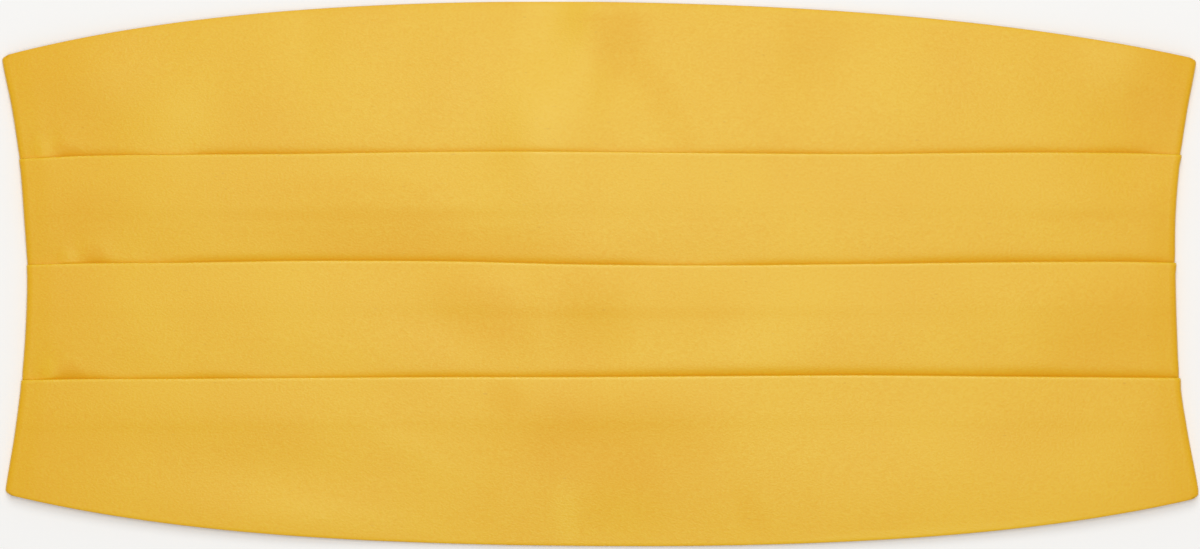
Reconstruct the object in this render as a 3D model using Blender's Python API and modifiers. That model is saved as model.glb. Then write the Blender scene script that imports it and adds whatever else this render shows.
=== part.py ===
"""A satin cummerbund of four bands with upward pleats, folded for display and laid flat, face up.

The pleated panel is one continuous cloth wall. Seen along its section it starts as a turned hem, rolls
over the top edge into the first band, dives behind the second band as an underlay, turns back, rolls
over the second band's fold, and so on down to the bottom hem. At both sides the bands roll round to the
back. The two tapered ends lie behind the panel, joined by a woven back strap and a flat clasp.

Frame: +X to the right as seen from the front, +Y up the wearer's body, +Z out of the cloth. The origin
is the centre of the outline, on the surface that the cummerbund lies on. All sizes are in millimetres
and are turned into metres where a mesh is made.
"""

import math
from typing import Callable, NamedTuple

import bmesh
import bpy
from mathutils import Matrix

MM = 0.001

# ---- driving sizes -------------------------------------------------------------------------------
WALL = 1.0             # thickness of the satin with its interlining
GAP = 0.3              # air between two layers that lie on each other, and at every seam
PITCH = WALL + GAP     # from one layer's middle to the next one's
TURN = PITCH / 2       # radius of a fold's middle line
END_LAYER = PITCH      # how high the panel is carried by the folded ends behind it
DEEPEST_ROLL = (END_LAYER + 2 * PITCH) / 2   # the side roll's radius where it takes in a pleat
HEM_DEPTH = 10.0       # cloth turned in along the top and bottom edges
COVER_PAST = 1.0       # a band stays level this far past the layers beneath it
PLEAT_SLOPE = 9.0      # length over which a band comes down from its pleat
HEM_SLOPE = 6.0        # the same, from the thinner hem
LAST_SHOWN = 0.35      # a band is last seen this far above the fold that covers it
SIDE_FLAP = 10.0       # the bands' width that rolls round to the back at each side
EASE_START = 4.0       # the panel stays raised this far outside the ends behind it,
EASE_LENGTH = 26.0     # then comes down to the surface over this length
TAPER_REACH = 154.0    # an end would run to a point this far from its side fold
END_TIP = 44.0         # the tips of the folded ends stand this far from the middle
STRAP_WIDTH = 25.0
EDGE_ROUND = 0.25      # rounding of the ends', straps' and clasp's edges
CLASP_LENGTH, CLASP_WIDTH = 22.0, 31.0
CLASP_BAR = 2.6        # width of the clasp's frame
CLASP_PLATE = 10.0     # length of its closed middle
SLOT_ROOM = 1.0        # a slot is this much wider than the strap
TURN_STEPS = 4         # facets round a fold that shows
HIDDEN_STEPS = 3       # facets round a fold that is hidden
SIDE_STEPS = 6         # facets round a side
COLUMNS = 28           # cells across the panel
TIP_COLUMNS, TIP_ROWS = 6, 8


class Bow(NamedTuple):
    """A long edge: its crest, and how far it falls away at HALF_BOW on each side."""

    crest_x: float
    crest_y: float
    left_round: float   # fall that grows with the square of the distance
    left_late: float    # fall that grows with its fourth power, so near the corner
    right_round: float
    right_late: float


HALF_BOW = 140.0
TOP_EDGE = Bow(-13.5, 63.54, 11.15, 5.75, 8.5, 2.4)
BOTTOM_EDGE = Bow(9.5, -63.54, -5.7, -4.65, -8.6, -5.3)


class Station(NamedTuple):
    """Heights of the three fold lines at one place across the panel."""

    x: float
    fold_1: float
    fold_2: float
    fold_3: float


STATIONS = (
    #         x     fold_1 fold_2  fold_3
    Station(-140.0, 26.6, 2.1, -24.7),
    Station(-132.6, 26.9, 2.2, -24.6),
    Station(-120.0, 27.5, 2.5, -24.4),
    Station(-95.0, 27.8, 2.7, -24.3),
    Station(-70.0, 28.0, 3.1, -24.1),
    Station(-35.0, 28.5, 3.0, -23.9),
    Station(-5.0, 28.5, 2.3, -23.9),
    Station(25.0, 28.2, 2.1, -23.7),
    Station(60.0, 28.0, 2.4, -23.5),
    Station(95.0, 28.3, 2.8, -23.8),
    Station(120.0, 28.2, 2.9, -24.0),
    Station(132.6, 27.9, 2.7, -24.1),
    Station(140.0, 27.7, 2.6, -24.2),
)


class Pleat(NamedTuple):
    """One pleat: the fold line that it hangs from, and how deep its underlay is."""

    fold: str
    underlay: float


PLEATS = (
    Pleat("fold_1", 13.7),
    Pleat("fold_2", 11.6),
    Pleat("fold_3", 11.2),
)


class SidePoint(NamedTuple):
    """Where the left and the right side lie at one height."""

    y: float
    left: float
    right: float


SIDES = (
    #          y      left    right
    SidePoint(-52.0, -138.6, 139.3),
    SidePoint(-49.8, -138.5, 139.2),
    SidePoint(-37.2, -136.4, 136.8),
    SidePoint(-24.7, -134.8, 134.9),
    SidePoint(-12.1, -133.8, 134.2),
    SidePoint(0.5, -133.5, 133.9),
    SidePoint(13.0, -134.2, 133.9),
    SidePoint(25.6, -135.2, 134.9),
    SidePoint(38.2, -137.0, 136.7),
    SidePoint(49.5, -139.3, 138.8),
    SidePoint(52.0, -139.4, 138.8),
)

# ---- finishes: linear base colour, roughness -----------------------------------------------------
SATIN = ((0.831, 0.515, 0.077), 0.42)
WEBBING = ((0.76, 0.45, 0.07), 0.75)
CLASP_PLASTIC = ((0.72, 0.42, 0.06), 0.35)


# ---- lines of the outline ------------------------------------------------------------------------
def smooth(share: float) -> float:
    """0 to 1 with level ends."""
    share = min(max(share, 0.0), 1.0)
    return share * share * (3.0 - 2.0 * share)


def through(table: tuple, key: str, value: str, at: float) -> float:
    """Read a smooth line through a table's rows, by cubic pieces with the rows' own slopes."""
    keys = [getattr(row, key) for row in table]
    values = [getattr(row, value) for row in table]
    last = len(table) - 1
    at = min(max(at, keys[0]), keys[last])
    low = max(i for i in range(last) if keys[i] <= at)

    def slope(i: int) -> float:
        before, after = max(i - 1, 0), min(i + 1, last)
        return (values[after] - values[before]) / (keys[after] - keys[before])

    span = keys[low + 1] - keys[low]
    t = (at - keys[low]) / span
    start, end = slope(low) * span, slope(low + 1) * span
    rise = values[low + 1] - values[low]
    return values[low] + t * (start + t * ((3 * rise - 2 * start - end) + t * (start + end - 2 * rise)))


def bowed(bow: Bow, x: float) -> float:
    """Height of a long edge at x."""
    u = (x - bow.crest_x) / HALF_BOW
    even, late = (bow.left_round, bow.left_late) if u < 0 else (bow.right_round, bow.right_late)
    return bow.crest_y - even * u**2 - late * u**4


def line(name: str, x: float) -> float:
    """Height at x of the top edge, the bottom edge or a fold line."""
    if name == "top":
        return bowed(TOP_EDGE, x)
    if name == "bottom":
        return bowed(BOTTOM_EDGE, x)
    return through(STATIONS, "x", name, x)


def side(hand: int, y: float) -> float:
    """Place of the left (-1) or right (+1) side at height y."""
    return through(SIDES, "y", "left" if hand < 0 else "right", y)


def end_middle(hand: int) -> float:
    """Height of a folded end's middle line."""
    x = side(hand, 0.0)
    return (line("top", x) + line("bottom", x)) / 2


def tapered(hand: int, y: float, depth: float) -> float:
    """Height that a point of the side at y has come to, this deep behind the panel."""
    middle = end_middle(hand)
    return middle + (y - middle) * (1.0 - depth / TAPER_REACH)


def carried(x: float, y: float) -> float:
    """How high the panel's lowest layer is carried by what lies behind it."""
    hand = -1 if x < 0 else 1
    corner = line("top", side(hand, 50.0))
    depth = abs(side(hand, y)) - max(abs(x), END_TIP)
    outside = abs(y - end_middle(hand)) - (tapered(hand, corner, depth) - end_middle(hand))
    return END_LAYER * (1.0 - smooth((outside - EASE_START) / EASE_LENGTH))


# ---- the panel's section -------------------------------------------------------------------------
class Row(NamedTuple):
    """One line of the panel's cloth, running from side to side.

    height gives its y at an x, layer gives how many layers lie beneath it there, and shows tells
    whether it is seen, and so rolls round the sides.
    """

    height: Callable[[float], float]
    layer: Callable[[float, float], float]
    shows: bool


def flat_row(name: str, offset: float, layer: float, shows: bool) -> Row:
    """A row at a set distance above a line of the outline, at a set layer."""
    return Row(lambda x: line(name, x) + offset, lambda x, y: layer, shows)


def turn_rows(name: str, offset: float, upward: int, lower: float, steps: int, shown_half: bool,
              falling: bool = False) -> list[Row]:
    """Rows round one fold: the cloth rises from one layer to the next, or falls back.

    name and offset give the fold's outermost middle line, upward its direction along Y.
    """
    rows = []
    for step in range(steps + 1):
        angle = math.pi * step / steps
        if falling:
            angle = math.pi - angle
        reach = offset - upward * TURN * (1.0 - math.sin(angle))
        layer = lower + (1.0 - math.cos(angle)) / 2
        shows = shown_half and angle > math.pi / 2 - 0.01
        rows.append(flat_row(name, reach, layer, shows))
    return rows


class Face(NamedTuple):
    """One band's face, from the fold or edge above it to the fold or edge below it."""

    above: str
    below: str
    cover: float               # depth of the layers beneath its upper part
    cover_layers: float
    slope: float               # length of the slope off them
    foot: float                # depth of the layers beneath its lower part
    foot_layers: float

    def layer(self, x: float, y: float) -> float:
        """Layers beneath the face at a point: the higher of its two supports."""
        past = line(self.above, x) - self.cover - COVER_PAST - y
        upper = self.cover_layers * (1.0 - smooth(past / self.slope))
        if not self.foot:
            return upper
        short = y - (line(self.below, x) + self.foot + COVER_PAST)
        return max(upper, self.foot_layers * (1.0 - smooth(short / HEM_SLOPE)))

    def rows(self, shares: tuple) -> list[Row]:
        """Rows down the face, at shares of the stretch between its two supports."""

        def height(share: float) -> Callable[[float], float]:
            def at(x: float) -> float:
                start = line(self.above, x) - self.cover - COVER_PAST
                stop = line(self.below, x) + self.foot + COVER_PAST
                return start + (stop - start) * share
            return at

        return [Row(height(share), self.layer, True) for share in shares]


def panel_rows() -> list[Row]:
    """Every row of the panel's cloth, from the raw edge of the top hem to that of the bottom hem."""
    edge = WALL / 2
    rows = [flat_row("top", -HEM_DEPTH, 0.0, False)]
    rows += turn_rows("top", -edge, 1, 0.0, TURN_STEPS, True)
    faces = (
        Face("top", "fold_1", HEM_DEPTH, 1.0, HEM_SLOPE, 0.0, 0.0),
        Face("fold_1", "fold_2", PLEATS[0].underlay, 2.0, PLEAT_SLOPE, 0.0, 0.0),
        Face("fold_2", "fold_3", PLEATS[1].underlay, 2.0, PLEAT_SLOPE, 0.0, 0.0),
        Face("fold_3", "bottom", PLEATS[2].underlay, 2.0, PLEAT_SLOPE, HEM_DEPTH, 1.0),
    )
    shares = (
        (0.0, 0.14, 0.28, 0.42, 0.7),
        (0.0, 0.22, 0.45, 0.68, 0.9),
        (0.0, 0.2, 0.38, 0.56, 0.75),
        (0.0, 0.16, 0.32, 0.48, 0.7, 0.84, 1.0),
    )
    for number, (face, places) in enumerate(zip(faces, shares)):
        rows += face.rows(places)
        if number < len(PLEATS):
            fold, underlay = PLEATS[number]
            rows.append(flat_row(fold, LAST_SHOWN, 0.0, True))
            rows.append(flat_row(fold, 0.0, 0.0, False))
            rows += turn_rows(fold, -underlay, -1, 0.0, HIDDEN_STEPS, False)
            rows += turn_rows(fold, -edge, 1, 1.0, TURN_STEPS, True)
    rows += turn_rows("bottom", edge, -1, 0.0, TURN_STEPS, True, falling=True)
    rows.append(flat_row("bottom", HEM_DEPTH, 0.0, False))
    return rows


class RowEnd(NamedTuple):
    """Where a row ends at one side: its y, the height of its middle, and the roll that starts there."""

    y: float
    z: float
    roll: float
    x: float


def middle_height(row: Row, x: float, y: float) -> float:
    """Height above the surface of the cloth's middle, in the panel."""
    return WALL / 2 + carried(x, y) + PITCH * row.layer(x, y)


def row_end(row: Row, hand: int) -> RowEnd:
    """The end of a row at the left or right side, just before the cloth rolls round."""
    x = side(hand, row.height(side(hand, 0.0)))
    y = row.height(x)
    x = side(hand, y)
    z = middle_height(row, x, y)
    roll = (z - WALL / 2) / 2 if row.shows else DEEPEST_ROLL
    return RowEnd(y, z, roll, x - hand * (WALL / 2 + roll))


def roll_points(row: Row, hand: int) -> list[tuple]:
    """Points of a shown row where it rolls round a side and lies behind the panel."""
    end = row_end(row, hand)
    middle = end.z - end.roll
    outline = side(hand, end.y)
    points = []
    for step in range(1, SIDE_STEPS + 1):
        angle = math.pi * step / SIDE_STEPS
        points.append((end.x + hand * end.roll * math.sin(angle), end.y, middle + end.roll * math.cos(angle)))
    for share in (0.5, 1.0):
        x = end.x + (outline - hand * SIDE_FLAP - end.x) * share
        depth = abs(outline) - abs(x)
        points.append((x, tapered(hand, end.y, depth), WALL / 2))
    return points


def row_points(row: Row) -> dict[int, tuple]:
    """A row's points by column: 0 to COLUMNS across the panel, the rolled sides beyond them."""
    left, right = row_end(row, -1), row_end(row, 1)
    points = {}
    for column in range(COLUMNS + 1):
        share = column / COLUMNS
        x = left.x + (right.x - left.x) * share
        y = row.height(x)
        z = middle_height(row, x, y)
        points[column] = (x, y, z)
    if row.shows:
        for hand, first in ((-1, 0), (1, COLUMNS)):
            for step, point in enumerate(roll_points(row, hand), start=1):
                points[first + hand * step] = point
    return points


# ---- making objects ------------------------------------------------------------------------------
def finish(name: str, look: tuple) -> bpy.types.Material:
    """A material of one colour and roughness."""
    colour, roughness = look
    material = bpy.data.materials.new(name)
    material.use_nodes = True
    shader = material.node_tree.nodes["Principled BSDF"]
    shader.inputs["Base Color"].default_value = (*colour, 1.0)
    shader.inputs["Roughness"].default_value = roughness
    shader.inputs["Metallic"].default_value = 0.0
    return material


def add_object(name: str, mesh: bpy.types.Mesh, look: tuple, home: bpy.types.Collection) -> bpy.types.Object:
    """Put a mesh in the collection as an object with a material of its own."""
    mesh.materials.append(finish(name + "_finish", look))
    made = bpy.data.objects.new(name, mesh)
    home.objects.link(made)
    return made


def sheet_mesh(name: str, lines: list[dict[int, tuple]]) -> bpy.types.Mesh:
    """An open surface through lines of points: a cell wherever two neighbours share two columns."""
    builder = bmesh.new()
    grid = [
        {column: builder.verts.new([MM * value for value in point]) for column, point in points.items()}
        for points in lines
    ]
    for upper, lower in zip(grid, grid[1:]):
        for column in sorted(upper):
            corners = [upper.get(column), lower.get(column), lower.get(column + 1), upper.get(column + 1)]
            if None not in corners:
                builder.faces.new(corners)
    mesh = bpy.data.meshes.new(name)
    builder.to_mesh(mesh)
    builder.free()
    mesh.shade_smooth()
    return mesh


def thicken(made: bpy.types.Object, thickness: float, offset: float) -> None:
    """Give an open surface its wall."""
    shell = made.modifiers.new("wall", "SOLIDIFY")
    shell.thickness = MM * thickness
    shell.offset = offset
    shell.use_even_offset = True


def soften(made: bpy.types.Object, width: float, segments: int) -> None:
    """Round an object's sharp edges."""
    bevel = made.modifiers.new("round", "BEVEL")
    bevel.width = MM * width
    bevel.segments = segments
    bevel.limit_method = "ANGLE"
    bevel.angle_limit = math.radians(50)


# ---- the pieces ----------------------------------------------------------------------------------
def make_front_panel(home: bpy.types.Collection) -> None:
    """The pleated satin panel with its hems and its rolled sides."""
    mesh = sheet_mesh("front_panel", [row_points(row) for row in panel_rows()])
    panel = add_object("front_panel", mesh, SATIN, home)
    thicken(panel, WALL, 0.0)


def make_folded_end(hand: int, name: str, home: bpy.types.Collection) -> None:
    """A tapered end of the panel, folded in behind it, its pressed layers as one wall."""
    x_side = side(hand, 0.0)
    low, high = line("bottom", x_side) + WALL / 2, line("top", x_side) - WALL / 2
    lines = []
    for step in range(TIP_ROWS + 1):
        start_y = high + (low - high) * step / TIP_ROWS
        outline = side(hand, start_y)
        start_x = outline - hand * (SIDE_FLAP + GAP)
        points = {}
        for column in range(TIP_COLUMNS + 1):
            x = start_x + (hand * END_TIP - start_x) * column / TIP_COLUMNS
            points[-hand * column] = (x, tapered(hand, start_y, abs(outline) - abs(x)), 0.0)
        lines.append(points)
    tip = add_object(name, sheet_mesh(name, lines), SATIN, home)
    thicken(tip, WALL, 1.0)
    soften(tip, EDGE_ROUND, 2)


def make_strap(hand: int, name: str, home: bpy.types.Collection) -> None:
    """One half of the woven back strap, flat between a folded end's tip and the clasp."""
    outer = END_TIP - GAP
    inner = CLASP_LENGTH / 2 + GAP
    size = Matrix.Diagonal((MM * (outer - inner), MM * STRAP_WIDTH, MM * WALL, 1.0))
    place = Matrix.Translation((MM * hand * (outer + inner) / 2, 0.0, MM * WALL / 2))
    builder = bmesh.new()
    bmesh.ops.create_cube(builder, size=1.0, matrix=place @ size)
    mesh = bpy.data.meshes.new(name)
    builder.to_mesh(mesh)
    builder.free()
    soften(add_object(name, mesh, WEBBING, home), EDGE_ROUND, 2)


def make_clasp(name: str, home: bpy.types.Collection) -> None:
    """The closed flat clasp: a plate with a slot at each end for the strap's turn."""
    outline = bpy.data.curves.new(name, "CURVE")
    outline.dimensions = "2D"
    outline.fill_mode = "BOTH"
    outline.extrude = MM * WALL / 2
    slot_length = (CLASP_LENGTH - CLASP_PLATE) / 2 - CLASP_BAR
    slot_middle = CLASP_PLATE / 2 + slot_length / 2
    for middle, length, width in (
        (0.0, CLASP_LENGTH, CLASP_WIDTH),
        (-slot_middle, slot_length, STRAP_WIDTH + SLOT_ROOM),
        (slot_middle, slot_length, STRAP_WIDTH + SLOT_ROOM),
    ):
        loop = outline.splines.new("POLY")
        loop.points.add(3)
        loop.use_cyclic_u = True
        for point, (along, up) in zip(loop.points, ((-1, -1), (1, -1), (1, 1), (-1, 1))):
            point.co = (MM * (middle + along * length / 2), MM * up * width / 2, 0.0, 1.0)
    drawn = bpy.data.objects.new(name, outline)
    home.objects.link(drawn)
    shape = drawn.evaluated_get(bpy.context.evaluated_depsgraph_get())
    mesh = bpy.data.meshes.new_from_object(shape)
    bpy.data.objects.remove(drawn)
    builder = bmesh.new()
    builder.from_mesh(mesh)
    bmesh.ops.remove_doubles(builder, verts=builder.verts, dist=1e-6)
    bmesh.ops.translate(builder, verts=builder.verts, vec=(0.0, 0.0, MM * WALL / 2))
    builder.to_mesh(mesh)
    builder.free()
    mesh.name = name
    clasp = add_object(name, mesh, CLASP_PLASTIC, home)
    soften(clasp, EDGE_ROUND, 2)


def main() -> None:
    """Clear the scene and make the cummerbund."""
    for old in list(bpy.data.objects):
        bpy.data.objects.remove(old)
    home = bpy.data.collections.new("cummerbund")
    bpy.context.scene.collection.children.link(home)
    make_front_panel(home)
    for hand, word in ((-1, "left"), (1, "right")):
        make_folded_end(hand, "folded_end_" + word, home)
        make_strap(hand, "strap_" + word, home)
    make_clasp("back_clasp", home)


main()
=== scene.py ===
"""The looks of a golden satin cummerbund: four bands with upward pleats, folded for display, laid face up.

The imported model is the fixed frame. A thin satin shell stands for each cloth solid, on that solid's own
outline: the pleated front panel, whose bands roll round both sides, and the two tapered ends that lie
behind it. Woven webbing stands for the back strap, and the clasp keeps its solid with a moulded finish.

Frame: +X to the right as seen from the front, +Y up the wearer's body, +Z out of the cloth. Sizes are in
millimetres and are turned into metres where a mesh is made.
"""
import logging
import math
from dataclasses import dataclass
from enum import Enum
from typing import Callable, NamedTuple

import bpy
import numpy as np
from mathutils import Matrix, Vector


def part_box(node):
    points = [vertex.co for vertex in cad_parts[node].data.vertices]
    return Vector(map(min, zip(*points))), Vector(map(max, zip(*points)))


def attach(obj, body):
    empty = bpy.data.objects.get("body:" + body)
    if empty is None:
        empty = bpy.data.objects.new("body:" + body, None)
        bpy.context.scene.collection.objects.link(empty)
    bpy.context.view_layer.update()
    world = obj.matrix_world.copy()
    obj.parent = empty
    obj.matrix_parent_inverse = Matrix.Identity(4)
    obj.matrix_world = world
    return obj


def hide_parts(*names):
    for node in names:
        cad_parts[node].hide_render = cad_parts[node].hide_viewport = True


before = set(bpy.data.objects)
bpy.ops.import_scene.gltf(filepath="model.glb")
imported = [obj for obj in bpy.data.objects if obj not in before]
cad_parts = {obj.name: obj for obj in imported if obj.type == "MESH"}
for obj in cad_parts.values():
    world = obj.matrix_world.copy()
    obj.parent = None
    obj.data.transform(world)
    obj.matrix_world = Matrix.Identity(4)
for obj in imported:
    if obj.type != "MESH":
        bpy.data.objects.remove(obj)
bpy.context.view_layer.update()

Array = np.ndarray
Line = Callable[[Array], Array]
Level = Callable[[Array, Array], Array]

MM = 0.001
BODY = "root"
# name of the point attribute that carries the painted sheen and painted shade into the satin's colour
PAINTED_LIGHT_ATTRIBUTE = "pressed"


class Hand(Enum):
    """The two sides of the cummerbund, as seen from the front."""

    LEFT = -1
    RIGHT = 1


class Edge(Enum):
    """The five lines that run from side to side."""

    TOP = "top"
    FOLD_1 = "fold_1"
    FOLD_2 = "fold_2"
    FOLD_3 = "fold_3"
    BOTTOM = "bottom"


# ---- lines of the outline, with the same values as the solids ------------------------------------
def smooth(share: Array) -> Array:
    """0 to 1 with level ends."""
    share = np.clip(share, 0.0, 1.0)
    return share * share * (3.0 - 2.0 * share)


def through(table: tuple, key: str, value: str, at: Array) -> Array:
    """Read a smooth line through a table's rows, by cubic pieces with the rows' own slopes.

    Args:
        table: rows with named columns, in order of the key column.
        key: name of the column that is looked up.
        value: name of the column that is read.
        at: where to read.

    Returns:
        The value at each place, held level past the table's ends.
    """
    keys = np.array([getattr(row, key) for row in table])
    values = np.array([getattr(row, value) for row in table])
    slopes = np.gradient(values)
    slopes[1:-1] = (values[2:] - values[:-2]) / (keys[2:] - keys[:-2])
    slopes[0] = (values[1] - values[0]) / (keys[1] - keys[0])
    slopes[-1] = (values[-1] - values[-2]) / (keys[-1] - keys[-2])
    at = np.clip(at, keys[0], keys[-1])
    low = np.clip(np.searchsorted(keys, at, side="right") - 1, 0, len(keys) - 2)
    span = keys[low + 1] - keys[low]
    t = (at - keys[low]) / span
    start, end = slopes[low] * span, slopes[low + 1] * span
    rise = values[low + 1] - values[low]
    return values[low] + t * (start + t * ((3 * rise - 2 * start - end) + t * (start + end - 2 * rise)))


class Bow(NamedTuple):
    """A long edge: its crest, and how far it falls away at HALF_BOW on each side."""

    crest_x: float
    crest_y: float
    left_round: float
    left_late: float
    right_round: float
    right_late: float


HALF_BOW = 140.0
TOP_EDGE = Bow(-13.5, 63.54, 11.15, 5.75, 8.5, 2.4)
BOTTOM_EDGE = Bow(9.5, -63.54, -5.7, -4.65, -8.6, -5.3)


class Station(NamedTuple):
    """Heights of the three fold lines at one place across the panel."""

    x: float
    fold_1: float
    fold_2: float
    fold_3: float


STATIONS = tuple(Station(*row) for row in (
    # x, fold_1, fold_2, fold_3
    (-140.0, 26.6, 2.1, -24.7),
    (-132.6, 26.9, 2.2, -24.6),
    (-120.0, 27.5, 2.5, -24.4),
    (-95.0, 27.8, 2.7, -24.3),
    (-70.0, 28.0, 3.1, -24.1),
    (-35.0, 28.5, 3.0, -23.9),
    (-5.0, 28.5, 2.3, -23.9),
    (25.0, 28.2, 2.1, -23.7),
    (60.0, 28.0, 2.4, -23.5),
    (95.0, 28.3, 2.8, -23.8),
    (120.0, 28.2, 2.9, -24.0),
    (132.6, 27.9, 2.7, -24.1),
    (140.0, 27.7, 2.6, -24.2),
))


class SidePoint(NamedTuple):
    """Where the left and the right side lie at one height."""

    y: float
    left: float
    right: float


SIDES = tuple(SidePoint(*row) for row in (
    # y, left, right
    (-52.0, -138.6, 139.3),
    (-49.8, -138.5, 139.2),
    (-37.2, -136.4, 136.8),
    (-24.7, -134.8, 134.9),
    (-12.1, -133.8, 134.2),
    (0.5, -133.5, 133.9),
    (13.0, -134.2, 133.9),
    (25.6, -135.2, 134.9),
    (38.2, -137.0, 136.7),
    (49.5, -139.3, 138.8),
    (52.0, -139.4, 138.8),
))


@dataclass(frozen=True)
class Outline:
    """The cummerbund's outline, and how its ends taper behind it."""

    end_tip: float = 44.0         # the tips of the folded ends stand this far from the middle
    taper_reach: float = 154.0    # an end would run to a point this far from its side fold
    side_flap: float = 10.0       # the bands' width that rolls round to the back at each side
    end_layer: float = 1.3        # how high the panel is carried by the ends behind it
    ease_start: float = 4.0       # it stays raised this far outside them,
    ease_length: float = 62.0     # then comes down to the surface over this length

    def line(self, edge: Edge, x: Array) -> Array:
        """Height of an edge or a fold line.

        Args:
            edge: which line.
            x: places across the panel.

        Returns:
            The line's y at each place.
        """
        if edge in (Edge.TOP, Edge.BOTTOM):
            bow = TOP_EDGE if edge is Edge.TOP else BOTTOM_EDGE
            u = (x - bow.crest_x) / HALF_BOW
            even = np.where(u < 0, bow.left_round, bow.right_round)
            late = np.where(u < 0, bow.left_late, bow.right_late)
            return bow.crest_y - even * u**2 - late * u**4
        return through(STATIONS, "x", edge.value, x)

    def side(self, hand: Hand, y: Array) -> Array:
        """Place of a side at height y."""
        return through(SIDES, "y", "left" if hand is Hand.LEFT else "right", y)

    def end_middle(self, hand: Hand) -> float:
        """Height of a folded end's middle line."""
        x = self.side(hand, 0.0)
        return float(self.line(Edge.TOP, x) + self.line(Edge.BOTTOM, x)) / 2

    def tapered(self, hand: Hand, y: Array, depth: Array) -> Array:
        """Height of a side's point this deep behind the panel.

        Args:
            hand: which side.
            y: the point's height at the side.
            depth: how far behind the side it has come.

        Returns:
            Its height there.
        """
        middle = self.end_middle(hand)
        return middle + (y - middle) * (1.0 - depth / self.taper_reach)

    def carried(self, x: Array, y: Array) -> Array:
        """How high the panel is carried by the folded ends.

        Args:
            x: places across the panel.
            y: their heights.

        Returns:
            The height of what lies behind the panel there.
        """
        raised = np.zeros(np.broadcast(x, y).shape)
        for hand in Hand:
            middle = self.end_middle(hand)
            corner = self.line(Edge.TOP, self.side(hand, 50.0)) - middle
            depth = np.abs(self.side(hand, y)) - np.maximum(np.abs(x), self.end_tip)
            outside = np.abs(y - middle) - corner * (1.0 - depth / self.taper_reach)
            height = self.end_layer * (1.0 - smooth((outside - self.ease_start) / self.ease_length))
            raised = np.where(np.sign(x + 1e-9) == hand.value, height, raised)
        return raised


# ---- meshes --------------------------------------------------------------------------------------
def add_piece(name: str, points: Array, faces: Array, finish: bpy.types.Material) -> bpy.types.Object:
    """Make an object from points in millimetres.

    Args:
        name: the piece's name.
        points: one row of x, y and z for each point.
        faces: four point numbers for each face.
        finish: the piece's material.

    Returns:
        The new object, smooth shaded.
    """
    mesh = bpy.data.meshes.new(name)
    mesh.from_pydata((points * MM).tolist(), [], faces.tolist())
    mesh.materials.append(finish)
    mesh.shade_smooth()
    made = bpy.data.objects.new(name, mesh)
    bpy.context.scene.collection.objects.link(made)
    return made


def grid_faces(numbers: Array) -> Array:
    """Faces between the neighbours of a grid of point numbers.

    Args:
        numbers: point numbers by row and column, -1 where there is no point.

    Returns:
        Four point numbers for each cell that has all its corners, turned to face the reader when rows
        run down and columns run right.
    """
    corners = (numbers[:-1, :-1], numbers[1:, :-1], numbers[1:, 1:], numbers[:-1, 1:])
    faces = np.stack(corners, axis=-1).reshape(-1, 4)
    return faces[(faces >= 0).all(axis=1)]


def closed_slab(x: Array, y: Array, heights: tuple, full: Array, turned: bool = False) -> tuple[Array, Array]:
    """Close two grids of points into one body along their shared border.

    Args:
        x: places by row and column.
        y: their heights up the body.
        heights: of the lower side, the border and the upper side over the surface.
        full: 0 at the border to 1 where the slab has its whole thickness.
        turned: whether the columns run left.

    Returns:
        The body's points and its faces.
    """
    low, middle, high = heights
    upper = np.stack([x, y, middle + (high - middle) * full], axis=-1)
    lower = np.stack([x, y, middle + (low - middle) * full], axis=-1)
    if turned:
        upper, lower = upper[:, ::-1], lower[:, ::-1]
    rows, columns = upper.shape[:2]
    top = np.arange(rows * columns).reshape(rows, columns)
    bottom = top.copy()
    inner = (rows - 2) * (columns - 2)
    bottom[1:-1, 1:-1] = rows * columns + np.arange(inner).reshape(rows - 2, columns - 2)
    points = np.concatenate([upper.reshape(-1, 3), lower[1:-1, 1:-1].reshape(-1, 3)])
    return points, np.concatenate([grid_faces(top), grid_faces(bottom)[:, ::-1]])


# ---- the pleated panel ---------------------------------------------------------------------------
class Band(NamedTuple):
    """One band that shows, and how high its face stands over the surface behind it."""

    upper: Edge
    lower: Edge
    start: float       # height at its upper fold or edge
    crown: float       # how much it swells between
    end: float         # height just above its lower fold or edge
    underlay: float    # depth of the layers pressed beneath its upper part


BANDS = (
    Band(Edge.TOP, Edge.FOLD_1, 1.05, 0.25, 1.44, 10.0),
    Band(Edge.FOLD_1, Edge.FOLD_2, 1.80, 0.26, 1.45, 13.7),
    Band(Edge.FOLD_2, Edge.FOLD_3, 1.80, 0.26, 1.49, 11.6),
    Band(Edge.FOLD_3, Edge.BOTTOM, 1.80, 0.15, 1.00, 11.2),
)


class Gape(NamedTuple):
    """How wide the cloth above each fold sinks away from it at one place; 1 is usual."""

    x: float
    fold_1: float
    fold_2: float
    fold_3: float


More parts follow.
